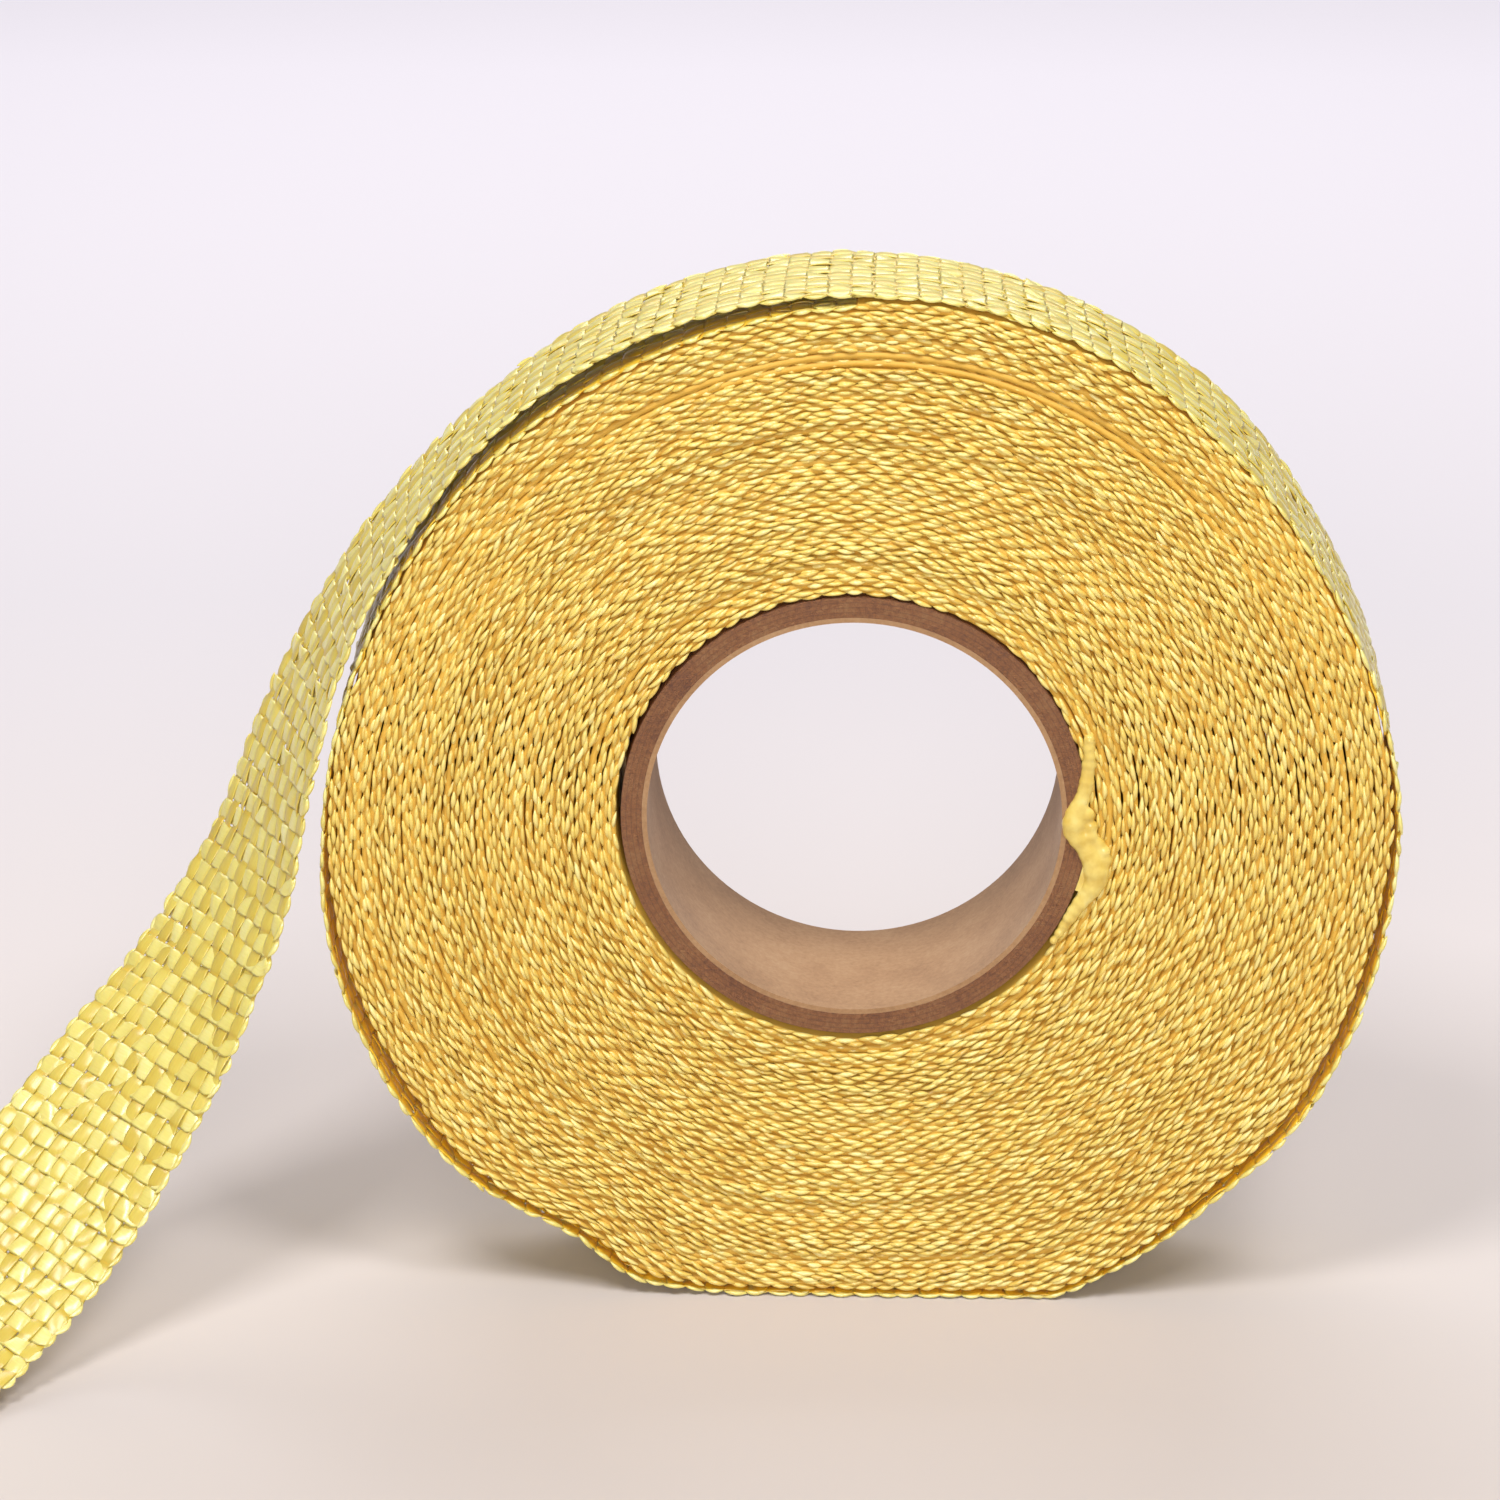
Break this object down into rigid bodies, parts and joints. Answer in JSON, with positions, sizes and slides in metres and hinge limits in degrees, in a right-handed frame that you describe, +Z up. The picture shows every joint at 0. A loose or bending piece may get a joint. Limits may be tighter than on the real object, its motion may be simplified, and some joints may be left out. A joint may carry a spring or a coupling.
{
  "type": "woven tape roll",
  "caption": "Roll of flat plain-woven yellow tape on a paper core, standing on its rim, with its free tail peeling off and coming down to the floor.",
  "frame": {"origin": "on the axis of the core's bore, at the middle of the tape's width", "axes": "+Y along the bore, away from the face that the tail turns towards; +Z up; +X to the right when the roll is seen along +Y, so the tail lies towards -X and -Y"},
  "size_m": [0.2045, 0.0821, 0.1315],
  "materials": {
    "core_liner_paper": "matt kraft paper with fine fibres",
    "core_body_paper": "cut edge of grey-brown paperboard plies",
    "woven_tape": "plain weave of flat silky filament yarns, low sheen with bright streaks",
    "bond": "hardened clear adhesive coloured by the yarn under it"
  },
  "bodies": {
    "roll": {"core_inner_liner": "core_liner_paper", "core_ply_inner": "core_body_paper", "core_ply_middle": "core_body_paper", "core_ply_outer": "core_body_paper", "core_outer_liner": "core_liner_paper", "tape_start_stub": "woven_tape", "start_bond_beads": "bond", "tape_turns_inner": "woven_tape", "tape_turns_middle": "woven_tape", "tape_turns_outer": "woven_tape", "tape_loose_turn": "woven_tape"},
    "peeling_wrap": {"tape_peel_wrap": "woven_tape"},
    "upper_tail": {"tail_upper": "woven_tape"},
    "lower_tail": {"tail_lower": "woven_tape"},
    "tail_end": {"tail_foot": "woven_tape", "tail_cut_end": "woven_tape"}
  },
  "joints": [
    {"name": "peel_bend", "type": "hinge", "parent": "roll", "child": "peeling_wrap", "pos_m": [0, 0, 0.0661], "axis": [0, 1, 0], "range_deg": [0, 50]},
    {"name": "upper_tail_bend", "type": "hinge", "parent": "peeling_wrap", "child": "upper_tail", "pos_m": [-0.0642, 0, 0.02], "axis": [-0.1913, 0.9806, 0.0425], "range_deg": [0, 60]},
    {"name": "lower_tail_bend", "type": "hinge", "parent": "upper_tail", "child": "lower_tail", "pos_m": [-0.0825, -0.009, -0.025], "axis": [-0.6569, 0.7524, 0.0497], "range_deg": [-30, 45]},
    {"name": "tail_end_bend", "type": "hinge", "parent": "lower_tail", "child": "tail_end", "pos_m": [-0.109, -0.0355, -0.057], "axis": [-0.8306, 0.4768, 0.2876], "range_deg": [-45, 60]}
  ]
}
